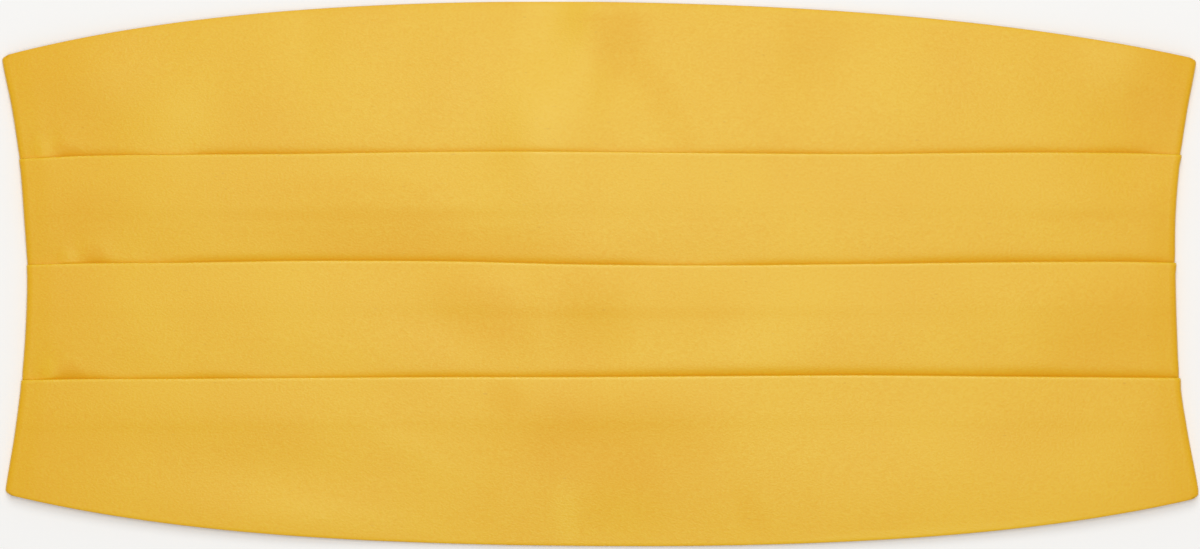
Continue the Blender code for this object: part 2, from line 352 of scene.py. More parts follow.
GAPES = tuple(Gape(*row) for row in (
    # x, fold_1, fold_2, fold_3
    (-136.0, 0.20, 0.20, 0.30),
    (-129.0, 0.15, 0.20, 0.15),
    (-127.4, 0.50, 0.15, 0.60),
    (-125.0, 1.30, 0.15, 1.25),
    (-122.0, 1.25, 0.35, 1.25),
    (-119.5, 1.15, 1.00, 1.00),
    (-116.0, 1.10, 1.15, 0.80),
    (-113.0, 1.05, 0.75, 0.60),
    (-109.0, 0.95, 0.65, 0.60),
    (-104.0, 0.60, 0.60, 0.75),
    (-97.0, 0.60, 0.90, 0.80),
    (-91.0, 1.10, 1.15, 1.00),
    (-76.0, 1.10, 1.20, 0.55),
    (-62.0, 1.00, 1.10, 0.65),
    (-46.0, 0.85, 1.00, 0.85),
    (-36.0, 0.75, 1.10, 0.95),
    (-20.0, 0.85, 1.05, 0.85),
    (-6.0, 0.75, 1.10, 1.10),
    (4.0, 0.60, 1.10, 1.20),
    (14.0, 0.60, 0.65, 1.20),
    (24.0, 0.75, 0.60, 1.20),
    (42.0, 0.95, 0.95, 1.20),
    (60.0, 0.75, 0.85, 1.15),
    (85.0, 1.00, 1.25, 1.20),
    (103.0, 1.15, 1.20, 1.50),
    (110.0, 1.00, 1.15, 1.30),
    (124.0, 1.35, 1.20, 1.20),
    (130.0, 0.60, 1.00, 1.10),
    (134.0, 0.25, 0.60, 0.90),
))


def spread(patch: "Swell | Lean | PaintedLightMark", x: Array, y: Array, turn: float = 0.0) -> tuple[Array, Array]:
    """How far each place lies from the middle of a patch.

    Args:
        patch: the patch, with its middle and its half sizes.
        x: places across the panel.
        y: their heights.
        turn: how far the patch is turned, in degrees.

    Returns:
        The distances along it and across it, as shares of its half sizes.
    """
    cos, sin = math.cos(math.radians(turn)), math.sin(math.radians(turn))
    along = ((x - patch.x) * cos + (y - patch.y) * sin) / patch.length
    across = ((y - patch.y) * cos - (x - patch.x) * sin) / patch.width
    return along, across


class Swell(NamedTuple):
    """A soft rise or hollow in the cloth: its middle, half sizes, turn in degrees and height."""

    x: float
    y: float
    length: float
    width: float
    turn: float
    height: float

    def at(self, x: Array, y: Array) -> Array:
        """Height that the swell adds at each place."""
        along, across = spread(self, x, y, self.turn)
        return self.height * np.exp(-(along**2) - across**2)


SWELLS = tuple(Swell(*row) for row in (
    # x, y, length, width, turn, height
    # the top band: creases that cross it from the edge to the first fold
    (-69.0, 52.0, 12.0, 5.0, 80.0, -0.12),
    (-3.0, 50.0, 20.0, 4.0, 90.0, 0.12),
    (7.0, 54.0, 12.0, 4.5, 84.0, -0.12),
    (15.0, 38.0, 11.0, 4.0, 118.0, -0.10),
    (49.0, 50.0, 13.0, 6.0, 105.0, -0.16),
    (111.1, 21.9, 1.4, 1.1, 40.0, -0.07),
    # the third band
    (-13.5, -10.0, 12.0, 3.0, 84.0, 0.14),
    # the bottom band
    (-44.0, -40.0, 12.0, 3.0, 152.0, 0.06),
    (-22.0, -48.0, 18.0, 4.0, 80.0, 0.14),
    (-6.0, -52.0, 10.0, 2.5, 96.0, 0.08),
    (28.0, -48.0, 18.0, 4.0, 100.0, 0.16),
    (37.0, -58.0, 7.0, 2.5, 110.0, -0.09),
    (50.0, -54.0, 9.0, 2.5, 84.0, -0.06),
))


class Lean(NamedTuple):
    """A patch of cloth that leans: its middle, half sizes, and its rise per millimetre up the body."""

    x: float
    y: float
    length: float
    width: float
    slope: float

    def at(self, x: Array, y: Array) -> Array:
        """Height that the patch adds at each place."""
        along, across = spread(self, x, y)
        return self.slope * (y - self.y) * np.exp(-(along**2) - across**2)


LEANS = tuple(Lean(*row) for row in (
    # x, y, length, width, slope
    # the top band
    (-119.0, 38.0, 11.0, 11.0, 0.055),
    (-102.0, 46.0, 9.0, 14.0, -0.020),
    (-14.0, 46.0, 10.0, 20.0, -0.080),
    (4.0, 54.0, 8.0, 12.0, 0.070),
    (26.0, 38.0, 12.0, 10.0, -0.025),
    (49.0, 52.0, 10.0, 12.0, 0.045),
    (126.0, 44.0, 12.0, 18.0, 0.070),
    # the second band
    (-118.0, 17.0, 14.0, 12.0, 0.030),
    (-50.0, 10.0, 34.0, 9.0, 0.040),
    (50.0, 12.0, 46.0, 12.0, -0.010),
    (118.0, 12.0, 16.0, 12.0, 0.025),
    # the third band
    (-30.0, -8.0, 11.0, 8.0, 0.055),
    (-2.0, -9.0, 9.0, 11.0, 0.070),
    (-44.0, -16.0, 14.0, 8.0, -0.030),
    (36.0, -14.0, 14.0, 8.0, -0.020),
    (114.0, -13.0, 20.0, 12.0, 0.040),
    # the bottom band
    (-95.0, -36.0, 30.0, 8.0, 0.030),
    (-76.0, -52.0, 22.0, 9.0, -0.075),
    (0.0, -36.0, 24.0, 9.0, 0.055),
    (4.0, -54.0, 16.0, 12.0, 0.040),
    (62.0, -44.0, 26.0, 16.0, -0.030),
    (112.0, -44.0, 18.0, 12.0, -0.020),
))


class PaintedLightMark(NamedTuple):
    """A soft patch of painted sheen and shade: its middle, half sizes, turn, and how much lighter it is
    painted.
    """

    x: float
    y: float
    length: float
    width: float
    turn: float
    lighter: float

    def at(self, x: Array, y: Array) -> Array:
        """How much painted sheen the patch puts at each place, below 0 where it paints shade."""
        along, across = spread(self, x, y, self.turn)
        return self.lighter * np.exp(-((along**2 + across**2) ** 2))


# painted sheen and painted shade, patch by patch, where the soft cloth catches or loses the light
PAINTED_LIGHT_MARKS = tuple(PaintedLightMark(*row) for row in (
    # x, y, length, width, turn, lighter
    # the top band
    (-12.0, 47.0, 24.0, 9.5, 90.0, 0.4),
    (-28.0, 40.0, 12.0, 9.0, 90.0, 0.2),
    (4.0, 56.0, 12.0, 6.5, 92.0, -0.5),
    (15.0, 39.0, 12.0, 4.0, 118.0, -0.25),
    (50.0, 54.0, 12.0, 8.0, 105.0, -0.3),
    (-80.0, 46.0, 14.0, 10.0, 80.0, -0.2),
    (-97.0, 34.0, 7.0, 7.0, 95.0, 0.25),
    (-120.0, 37.0, 8.0, 9.0, 0.0, -0.1),
    (-64.0, 56.0, 8.0, 5.0, 90.0, -0.15),
    (105.0, 46.0, 11.0, 7.0, 80.0, -0.15),
    (129.0, 44.0, 15.0, 7.0, 80.0, -0.4),
    # the second band: painted shade along the underlay's edge, a line on its left half
    (-54.0, 13.8, 32.0, 2.0, 0.0, -0.5),
    (-118.0, 14.0, 13.0, 6.0, 0.0, -0.2),
    (-58.0, 19.0, 22.0, 4.0, 0.0, -0.3),
    (-107.0, 21.0, 8.0, 5.0, 20.0, -0.15),
    (-46.0, 7.5, 40.0, 5.0, -2.0, -0.5),
    (111.0, 13.5, 14.0, 1.6, 2.0, -0.25),
    # the third band
    (-28.0, -9.0, 15.0, 8.0, 145.0, -0.4),
    (-2.0, -11.0, 12.0, 11.0, 90.0, -0.4),
    (20.0, -9.0, 12.0, 8.0, 0.0, -0.2),
    (14.0, -9.0, 44.0, 1.6, 0.0, -0.2),
    (38.0, -17.5, 13.0, 4.0, 0.0, 0.15),
    (-88.0, -11.0, 11.0, 8.0, 0.0, -0.12),
    (116.0, -12.0, 17.0, 11.0, 0.0, -0.4),
    (86.0, -12.0, 9.0, 7.0, 100.0, -0.15),
    # the bottom band
    (2.0, -38.5, 27.0, 13.0, 0.0, -0.5),
    (6.0, -53.0, 12.0, 9.0, 90.0, -0.2),
    (-104.0, -38.0, 30.0, 8.0, 0.0, -0.2),
    (-44.0, -41.0, 12.0, 3.5, 150.0, 0.2),
    (-22.0, -28.5, 4.0, 5.0, 60.0, -0.4),
    (-8.0, -55.0, 8.0, 2.5, 95.0, 0.5),
    (-56.0, -56.5, 18.0, 3.5, -8.0, 0.25),
    (36.0, -57.0, 7.0, 3.0, 120.0, -0.3),
    # painted highlights on edges that lie a little raised and catch the light
    (0.0, 63.2, 15.0, 2.6, 0.0, 0.5),
    (70.0, 60.0, 50.0, 2.0, -4.5, 0.3),
    (75.0, -60.9, 45.0, 2.0, 5.0, 0.5),
    # the tacks: a painted highlight on the knob above each, and painted shade in the pocket to its right
    (-129.6, 29.6, 2.4, 2.0, 90.0, 0.4),
    (-123.6, 28.6, 3.4, 1.4, -15.0, -0.5),
    (-124.0, 4.2, 2.2, 2.2, 90.0, 0.3),
    (-117.6, 4.4, 2.6, 2.4, 0.0, -0.5),
    (-128.2, -21.8, 3.4, 1.6, 92.0, 0.4),
    (-123.0, -22.8, 3.0, 2.0, -15.0, -0.5),
    # painted shade at both sides, where the cloth turns away from the light
    (-137.0, 0.0, 24.0, 90.0, 0.0, -0.4),
    (138.0, 0.0, 18.0, 90.0, 0.0, -0.3),
))


# rows of the panel's cloth lie this far from an edge or a fold, closest where it turns
HEM_ROWS = (8.0, 6.0, 4.0, 2.6, 1.4)
EDGE_ROWS = (0.75, 1.1, 1.7, 2.6)
FOLD_ROWS = (3.8, 3.1, 2.5, 2.0, 1.6, 1.25, 0.95, 0.7, 0.48, 0.3, 0.15, 0.04)
FACE_SPACING = 1.35    # and this far apart between
TACK_KNOB = Swell(0.0, 1.4, 2.8, 2.2, 94.0, 0.15)    # stands above each tack, y from its fold


class Tack(NamedTuple):
    """Where a pleat is tacked down near the left side."""

    fold: Edge
    x: float


TACKS = (
    Tack(Edge.FOLD_1, -129.6),
    Tack(Edge.FOLD_2, -123.9),
    Tack(Edge.FOLD_3, -128.2),
)


@dataclass(frozen=True)
class Row:
    """One line of the panel's cloth, from side to side.

    Attributes:
        height: gives its y at an x.
        level: gives the height of the cloth's right side above the surface.
        rolls: whether it goes on round the sides.
        inside: how deep it lies under the cloth that shows.
        lift: how far its flap stands off the surface behind the panel.
        jut: how far it stands out past the side line.
    """

    height: Line
    level: Level
    rolls: bool = True
    inside: float = 0.0
    lift: float = 0.0
    jut: float = 0.0


@dataclass(frozen=True)
class PleatedPanel:
    """The satin front: turned hems, four bands, three upward pleats, and sides rolled to the back."""

    outline: Outline
    wall: float = 0.25            # the satin with its light interlining, pressed
    air: float = 0.06             # between layers that are pressed together
    pressed: float = 0.24         # how far a pressed fold's round reaches in from its edge
    rim: float = 0.12             # how far the long edges stand back from the solids' own lines
    hem: float = 10.0             # cloth turned in along the top and bottom edges
    roll: float = 0.85            # how far the roll round a side reaches in from it
    flap_height: float = 0.02     # the flaps behind lie this far over the surface
    hidden_end: float = 2.6       # hidden layers stop this far inside the sides
    fall_power: float = 1.2       # above 1, a band comes down mostly in its lower part
    side_fall: float = 0.16       # how much lower the cloth lies at a side,
    side_reach: float = 7.0       # coming down over this length
    edge_dip: float = 0.10        # the same at the top edge
    edge_reach: float = 2.4
    sink: float = 2.8             # usual width of the hollow above a fold
    sink_power: float = 3.2       # how much steeper the hollow is next to the fold
    gape_rise: float = 0.26       # how much more the cloth stands off where the hollow is twice as wide
    gape_reach: float = 6.0       # how far above the fold that reaches
    gape_dip: float = 0.22        # how much lower its floor lies there,
    gape_from: float = 0.6        # where the gape is more than this
    corner: float = 1.0           # radius of the outline's corners
    tread: float = 0.28           # how far the pleats' tops stand out at the right side
    tread_left: float = 0.3       # share of that at the left side
    tread_reach: float = 3.0      # how far down a band it fades
    tuck: float = 0.12            # how far the cloth above a fold stands back at the sides
    tuck_reach: float = 2.5
    fold_highlight: float = 2.0           # painted highlight along the folds' edges: how much lighter they are painted
    fold_highlight_reach: float = 0.45
    hollow_shade: float = 0.75       # painted shade in the hollow above each fold, where light meets the cloth twice: how much deeper the colour is made there
    hollow_shade_reach: float = 1.3      # how far above the fold that reaches where the gape is 1
    hollow_shade_steady: float = 0.4     # share of that reach that is the same at any gape
    press_mark: float = 0.07      # depth of the mark that a pressed underlay leaves in its band
    press_soft: float = 1.2       # half the width over which the mark comes in
    turn_steps: int = 6
    side_steps: int = 8
    flap_steps: int = 3
    half_width: float = 137.0     # usual distance from the middle to a side
    rounding: float = 0.001       # a point this near a fold's line counts as on it

    @property
    def two_layers(self) -> float:
        """Height of a band's right side over that of its underlay, where they are pressed together."""
        return 2 * self.wall + self.air

    @property
    def step(self) -> float:
        """Height of a pleat over the band that it covers."""
        return self.two_layers + self.air

    # -- heights of the faces --
    def open_face(self, band: Band, x: Array, y: Array) -> Array:
        """Height of a band's right side, without the hollow above its lower fold.

        Args:
            band: which band.
            x: places across the panel.
            y: their heights.

        Returns:
            The cloth's height over the surface.
        """
        down = self.outline.line(band.upper, x) - y
        up = y - self.outline.line(band.lower, x)
        share = np.clip(down / (down + up), 0.0, 1.0)
        level = band.start + (band.end - band.start) * share**self.fall_power
        level = level + band.crown * np.sin(math.pi * share)
        past = (down - band.underlay + self.press_soft) / (2 * self.press_soft)
        level = level - self.press_mark * smooth(past)
        for hand in Hand:
            inside = np.abs(self.outline.side(hand, y) - x)
            level = level - self.side_fall * (1.0 - smooth(inside / self.side_reach))
        for shape in (*SWELLS, *LEANS):
            level = level + shape.at(x, y)
        if band.upper is Edge.TOP:
            level = level - self.edge_dip * np.clip(1.0 - down / self.edge_reach, 0.0, 1.0) ** 2
        if band.lower is not Edge.BOTTOM:
            gape = through(GAPES, "x", band.lower.value, x)
            level = level + self.gape_rise * (gape - 1.0) * np.exp(-(up / self.gape_reach) ** 2)
        for tack in TACKS:
            if tack.fold is band.lower:
                fold = float(self.outline.line(tack.fold, np.array(tack.x)))
                level = level + TACK_KNOB._replace(x=tack.x, y=fold + TACK_KNOB.y).at(x, y)
        return level + self.outline.carried(x, y)

    def face(self, number: int, x: Array, y: Array) -> Array:
        """Height of a band's right side where it shows.

        Args:
            number: the band's place in BANDS.
            x: places across the panel.
            y: their heights.

        Returns:
            The cloth's height over the surface.
        """
        band = BANDS[number]
        level = self.open_face(band, x, y)
        if band.lower is Edge.BOTTOM:
            return level
        fold = self.outline.line(band.lower, x)
        gape = through(GAPES, "x", band.lower.value, x)
        covered = self.open_face(BANDS[number + 1], x, fold) - self.step
        depth = self.open_face(band, x, fold) - covered
        depth = depth + self.gape_dip * np.maximum(gape - self.gape_from, 0.0)
        width = self.sink * gape
        return level - depth * np.clip(1.0 - (y - fold) / width, 0.0, 1.0) ** self.sink_power

    def under(self, number: int, depth: float = 0.0) -> Level:
        """A level at a set depth below a band's right side."""
        return lambda x, y: self.face(number, x, y) - depth

    # -- rows --
    def offset(self, edge: Edge, by: float) -> Line:
        """A line at a set distance above an edge or fold."""
        own = {Edge.TOP: -self.rim, Edge.BOTTOM: self.rim}.get(edge, 0.0)
        return lambda x: self.outline.line(edge, x) + own + by

    def between(self, band: Band, start: float, stop: float, share: float) -> Line:
        """A line part of the way down a band.

        Args:
            band: which band.
            start: where the stretch begins below the band's upper line.
            stop: where it ends above the band's lower line.
            share: how far down the stretch, 0 to 1.

        Returns:
            The line's y at an x.
        """
        def at(x: Array) -> Array:
            high = self.outline.line(band.upper, x) - start
            low = self.outline.line(band.lower, x) + stop
            return high + (low - high) * share
        return at

    def corner_cut(self, radius: float, distance: float) -> float:
        """How far a rounded corner stands back from its side.

        Args:
            radius: the corner's radius.
            distance: how far along the side from the corner's edge.

        Returns:
            The distance to the side line.
        """
        short = max(radius - distance, 0.0)
        return radius - math.sqrt(radius**2 - short**2)

    def turn_rows(self, number: int, falling: bool = False) -> list[Row]:
        """Rows round a band's upper fold or edge, or round the bottom edge.

        Args:
            number: the band's place in BANDS.
            falling: True round the bottom edge.

        Returns:
            The rows, from the layer beneath to the face, or from the face down.
        """
        band = BANDS[number]
        edge = band.lower if falling else band.upper
        upward = -1 if falling else 1
        is_fold = edge not in (Edge.TOP, Edge.BOTTOM)
        rows = []
        for step in range(self.turn_steps + 1):
            angle = math.pi * step / self.turn_steps
            if falling:
                angle = math.pi - angle
            inside = self.two_layers * (1.0 + math.cos(angle)) / 2
            reach = self.pressed * (1.0 - math.sin(angle))
            jut = -self.corner_cut(self.corner, reach)
            if is_fold:
                jut = self.tread - self.corner_cut(self.corner / 2, reach)

            def level(x: Array, y: Array, inside: float = inside) -> Array:
                start = self.outline.line(edge, x) - upward * self.pressed
                return self.face(number, x, start) - inside

            rolls = angle > math.radians(50) or not is_fold
            rows.append(Row(self.offset(edge, -upward * reach), level, rolls, inside, 0.0, jut))
        return rows

    def hem_rows(self, number: int) -> list[Row]:
        """Rows of the hem turned in behind the first or the last band, from its raw edge out."""
        band = BANDS[number]
        top = band.upper is Edge.TOP
        rows = []
        cut = -self.corner_cut(self.corner, self.pressed)
        level = self.under(number, self.two_layers)
        for depth in (self.hem, *HEM_ROWS):
            height = self.offset(Edge.TOP, -depth) if top else self.offset(Edge.BOTTOM, depth)
            rows.append(Row(height, level, depth < self.hem / 2, self.two_layers, 0.0, cut))
        return rows if top else rows[::-1]

    def face_rows(self, number: int) -> list[Row]:
        """Rows down a band's face, close together where it turns."""
        band = BANDS[number]
        is_pleat = band.upper is not Edge.TOP
        has_pleat = band.lower is not Edge.BOTTOM
        level = self.under(number)
        rows = []
        for down in EDGE_ROWS:
            jut = -self.corner_cut(self.corner, down)
            if is_pleat:
                jut = self.tread * (1.0 - float(smooth(down / self.tread_reach)))
            rows.append(Row(self.offset(band.upper, -down), level, jut=jut))
        start = EDGE_ROWS[-1]
        stop = FOLD_ROWS[0] if has_pleat else start
        middle = np.array(0.0)
        length = float(self.outline.line(band.upper, middle) - self.outline.line(band.lower, middle))
        count = round((length - start - stop) / FACE_SPACING)
        for place in range(1, count):
            rows.append(Row(self.between(band, start, stop, place / count), level))
        if has_pleat:
            for up in FOLD_ROWS:
                near = 1.0 - float(smooth(up / self.tuck_reach))
                lift = (self.wall + self.air) * near
                rows.append(Row(self.offset(band.lower, up), level, lift=lift, jut=-self.tuck * near))
        else:
            for up in EDGE_ROWS[::-1]:
                rows.append(Row(self.offset(band.lower, up), level, jut=-self.corner_cut(self.corner, up)))
        return rows

    def pleat_rows(self, number: int) -> list[Row]:
        """Hidden rows from a band's last shown line down to the pleat's inner fold and up again.

        Args:
            number: the band's place in BANDS; the pleat lies behind the next band.

        Returns:
            The rows, in the cloth's own order.
        """
        band, cover = BANDS[number], BANDS[number + 1]
        deep = cover.underlay

        def layer(under: float) -> Level:
            def level(x: Array, y: Array) -> Array:
                start = self.outline.line(cover.upper, x) - self.pressed
                return self.face(number + 1, x, np.minimum(y, start)) - under
            return level

        rows = []
        for down in (0.4, 0.9, 2.0, 4.5, deep * 0.6, deep - 1.2, deep - 0.3):
            near = down < 1.0
            lift = self.wall + self.air if near else 0.0
            rows.append(Row(self.offset(band.lower, -down), layer(self.step), near, 0.0, lift, -0.3))
        rows.append(Row(self.offset(band.lower, -deep), layer(self.step - self.air / 2), False))
        for down in (deep - 0.3, deep - 1.2, deep * 0.6, 4.5, 2.0, 1.0):
            rows.append(Row(self.offset(band.lower, -down), layer(self.two_layers), False))
        return rows

    def rows(self) -> list[Row]:
        """Every row of the cloth, from the raw edge of the top hem to that of the bottom hem."""
        last = len(BANDS) - 1
        rows = self.hem_rows(0)
        for number in range(len(BANDS)):
            rows += self.turn_rows(number)
            rows += self.face_rows(number)
            if number < last:
                rows += self.pleat_rows(number)
        rows += self.turn_rows(last, falling=True)
        rows += self.hem_rows(last)
        return rows

    # -- points --
    def columns(self) -> Array:
        """Shares of the way across, closest near the left side, where the pleats are tacked."""
        places = np.concatenate([
            np.arange(0.0, 26.0, 0.9),
            np.arange(26.0, 250.0, 1.9),
            np.arange(250.0, 270.0, 1.0),
            [270.0],
        ])
        return places / places[-1]

    def row_end(self, row: Row, hand: Hand) -> tuple[float, float]:
        """Where a row meets a side.

        Args:
            row: the row.
            hand: which side.

        Returns:
            The side's x, with the row's own jut, and the row's y there.
        """
        side = self.outline.side
        x = side(hand, row.height(side(hand, np.array(0.0))))
        y = row.height(x)
        jut = row.jut if hand is Hand.RIGHT or row.jut < 0 else self.tread_left * row.jut
        return float(side(hand, y)) + hand.value * jut, float(y)

    def rolled(self, row: Row, hand: Hand) -> Array:
        """Points of a row where it rolls round a side and lies behind the panel.

        Args:
            row: the row.
            hand: which side.

        Returns:
            The points, from the panel outward and back in.
        """
        out, y = self.row_end(row, hand)
        start = out - hand.value * self.roll
        top = float(row.level(np.array(start), np.array(y))) + row.inside
        low = self.flap_height + row.lift
        middle, half = (top + low) / 2, (top - low) / 2
        points = []
        for step in range(1, self.side_steps + 1):
            angle = math.pi * step / self.side_steps
            x = start + hand.value * (self.roll - row.inside) * math.sin(angle)
            points.append((x, y, middle + (half - row.inside) * math.cos(angle)))
        inner = out - hand.value * self.outline.side_flap
        for step in range(1, self.flap_steps + 1):
            x = start + (inner - start) * step / self.flap_steps
            depth = abs(out) - abs(x)
            points.append((x, float(self.outline.tapered(hand, y, depth)), low + row.inside))
        return np.array(points)

    def row_points(self, row: Row) -> Array:
        """All points of a row, from the left flap to the right one, absent ones as NaN."""
        back = self.roll if row.rolls else self.hidden_end
        left = self.row_end(row, Hand.LEFT)[0] + back
        right = self.row_end(row, Hand.RIGHT)[0] - back
        x = left + (right - left) * self.columns()
        y = row.height(x)
        across = np.stack([x, y, row.level(x, y)], axis=1)
        if row.rolls:
            return np.concatenate([self.rolled(row, Hand.LEFT)[::-1], across, self.rolled(row, Hand.RIGHT)])
        absent = np.full((self.side_steps + self.flap_steps, 3), np.nan)
        return np.concatenate([absent, across, absent])

    def painted_sheen_and_shade(self, x: Array, y: Array) -> Array:
        """Painted light in the cloth's colour: painted patches, painted highlights on the folds' edges,
        painted shade in the hollows.

        Args:
            x: places across the panel.
            y: their heights.

        Returns:
            The change at each place, below 0 where the cloth is darker.
        """
        lighter = sum(mark.at(x, y) for mark in PAINTED_LIGHT_MARKS)
        for band in BANDS[1:]:
            down = self.outline.line(band.upper, x) - y
            shown = down > -self.rounding
            lighter = lighter + self.fold_highlight * np.exp(-((down / self.fold_highlight_reach) ** 2)) * shown
            gape = through(GAPES, "x", band.upper.value, x)
            reach = self.hollow_shade_reach * (self.hollow_shade_steady + (1.0 - self.hollow_shade_steady) * gape)
            lighter = lighter - np.where(shown, 0.0, self.hollow_shade * gape * np.exp(down / reach))
        return lighter

    def make(self, finish: bpy.types.Material) -> bpy.types.Object:
        """Build the panel and give it its place in the frame.

        Args:
            finish: the satin.

        Returns:
            The panel.
        """
        grid = np.stack([self.row_points(row) for row in self.rows()])
        present = ~np.isnan(grid[:, :, 0])
        numbers = np.where(present, np.cumsum(present).reshape(present.shape) - 1, -1)
        panel = add_piece("pleated_front", grid[present], grid_faces(numbers), finish)
        # the painted sheen and painted shade go onto the panel's points, for the satin's colour
        lighter = panel.data.attributes.new(PAINTED_LIGHT_ATTRIBUTE, "FLOAT", "POINT")
        lighter.data.foreach_set("value", self.painted_sheen_and_shade(*grid[present][:, :2].T).astype(np.float32))
        shell = panel.modifiers.new("cloth", "SOLIDIFY")
        shell.thickness = MM * self.wall
        shell.offset = -1.0
        shell.use_quality_normals = True
        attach(panel, BODY)
        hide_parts("front_panel")
        return panel


# ---- the pieces behind ---------------------------------------------------------------------------
def rim_shares(count: int, rim: float) -> tuple[Array, Array]:
    """Places across a slab with two close ones at each rim.

    Args:
        count: cells between the rims.
        rim: width of a rim, as a share of the slab.

    Returns:
        The places from 0 to 1, and how full the slab is at each.
    """
    middle = np.linspace(rim, 1.0 - rim, count + 1)
    places = np.concatenate([[0.0, rim * 0.3], middle, [1.0 - rim * 0.3, 1.0]])
    full = np.ones(len(places))
    full[[0, -1]] = 0.0
    full[[1, -2]] = 0.72
    return places, full


@dataclass(frozen=True)
class FoldedEnd:
    """A tapered end of the panel, folded in behind it, its pleats pressed and running to the tip."""

    outline: Outline
    hand: Hand
    seam: float = 0.3             # from the panel's flap
    low: float = 0.03
    high: float = 0.95
    recess: float = 0.34          # height of a pressed pleat's edge on the underside
    slow_fall: float = 0.45       # share of it that comes slowly across the band; the rest comes
    quick_reach: float = 0.1      # in this last share of the band
    fall_power: float = 1.5
    last_fall: float = 0.3        # share of it at the bottom edge
    wave: float = 0.05            # height of faint waves left by pressing
    rows: int = 96
    columns: int = 56

    def underside(self, share: Array, along: Array) -> Array:
        """Height of the side that faces the surface: each band lies over the one above it.

        Args:
            share: places from the top edge to the bottom edge, 0 to 1.
            along: places from the side to the tip, 0 to 1.

        Returns:
            The cloth's height over the surface.
        """
        x = self.outline.side(self.hand, np.array(0.0))
        lines = [float(self.outline.line(edge, x)) for edge in Edge]
        folds = [(lines[0] - line) / (lines[0] - lines[-1]) for line in lines]
        height = np.zeros(share.shape)
        for start, stop in zip(folds, folds[1:]):
            part = (share - start) / (stop - start)
            inside = (part >= 0.0) & (part <= 1.0)
            quick = smooth((part - 1.0 + self.quick_reach) / self.quick_reach)
            fall = self.slow_fall * np.clip(part, 0, 1) ** self.fall_power + (1.0 - self.slow_fall) * quick
            last = self.last_fall if stop == folds[-1] else 1.0
            height = np.where(inside, self.recess * last * fall, height)
        waves = self.wave * np.sin(9.0 * along + 5.0 * share) * np.sin(math.pi * share)
        return self.low + height + np.abs(waves)

    def make(self, finish: bpy.types.Material) -> bpy.types.Object:
        """Build the end and give it its place in the frame.

        Args:
            finish: the satin.

        Returns:
            The folded end.
        """
        outline, hand = self.outline, self.hand
        x_side = outline.side(hand, np.array(0.0))
        high = float(outline.line(Edge.TOP, x_side)) - 0.5
        low = float(outline.line(Edge.BOTTOM, x_side)) + 0.5
        down, down_full = rim_shares(self.rows, 0.004)
        along, along_full = rim_shares(self.columns, 0.006)
        share, depth = np.meshgrid(down, along, indexing="ij")
        start_y = high + (low - high) * share
        side = outline.side(hand, start_y)
        start_x = side - hand.value * (outline.side_flap + self.seam)
        x = start_x + (hand.value * outline.end_tip - start_x) * depth
        y = outline.tapered(hand, start_y, np.abs(side) - np.abs(x))
        full = np.minimum(down_full[:, None], along_full[None, :])
        heights = (self.underside(share, depth), (self.low + self.high) / 2, self.high)
        body = closed_slab(x, y, heights, full, turned=hand is Hand.RIGHT)
        word = hand.name.lower()
        end = add_piece(f"tapered_end_{word}", *body, finish)
        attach(end, BODY)
        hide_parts(f"folded_end_{word}")
        return end


@dataclass(frozen=True)
class BackStrap:
    """One half of the strap: flat woven webbing with raised selvedges, from an end's tip to the clasp."""

    hand: Hand
    rib: float = 1.3              # spacing of the weft ribs
    rib_height: float = 0.07
    selvedge: float = 1.6
    groove: float = 0.12          # depth of the line inside each selvedge
    groove_width: float = 0.25
    rib_start: float = 0.5        # the ribs rise over this length inside it
    low: float = 0.03
    high: float = 0.97

    def make(self, finish: bpy.types.Material) -> bpy.types.Object:
        """Build the webbing and give it its place in the frame.

        Args:
            finish: the webbing.

        Returns:
            The strap half.
        """
        word = self.hand.name.lower()
        box_low, box_high = (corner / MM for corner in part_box(f"strap_{word}"))
        length = box_high.x - box_low.x
        width = box_high.y - box_low.y
        down, down_full = rim_shares(30, 0.012)
        along, along_full = rim_shares(round(4 * length / self.rib), 0.01)
        share, depth = np.meshgrid(down, along, indexing="ij")
        x = box_low.x + length * depth
        y = box_high.y - width * share
        full = np.minimum(down_full[:, None], along_full[None, :])
        from_edge = np.minimum(share, 1.0 - share) * width
        inside = smooth((from_edge - self.selvedge) / self.rib_start)
        rib = self.rib_height * inside * (0.5 - 0.5 * np.cos(2 * math.pi * x / self.rib))
        recess = rib + self.groove * np.exp(-((from_edge - self.selvedge) / self.groove_width) ** 2)
        heights = (self.low + recess, (self.low + self.high) / 2, self.high - recess)
        strap = add_piece(f"webbing_{word}", *closed_slab(x, y, heights, full), finish)
        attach(strap, BODY)
        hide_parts(f"strap_{word}")
        return strap


@dataclass(frozen=True)
class BackClasp:
    """The flat closed clasp: its solid is the real shape, so it keeps it and gets a moulded finish."""

    node: str = "back_clasp"

    def make(self, finish: bpy.types.Material) -> bpy.types.Object:
        """Dress the clasp's solid.

        Args:
            finish: the moulded plastic.

        Returns:
            The clasp.
        """
        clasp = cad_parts[self.node]
        clasp.data.materials.clear()
        clasp.data.materials.append(finish)
        return clasp


# ---- finishes ------------------------------------------------------------------------------------
def linear(code: str) -> tuple[float, float, float, float]:
    """Turn an sRGB hex colour into a linear one.

    Args:
        code: the colour, such as "#EBB83E".

    Returns:
        Red, green, blue and 1.
    """
    shares = [int(code[place:place + 2], 16) / 255 for place in (1, 3, 5)]
    values = [s / 12.92 if s <= 0.04045 else ((s + 0.055) / 1.055) ** 2.4 for s in shares]
    return (*values, 1.0)


def per_metre(period: float) -> float:
    """Texture scale whose pattern repeats about every so many millimetres."""
    return 1.0 / (MM * period)


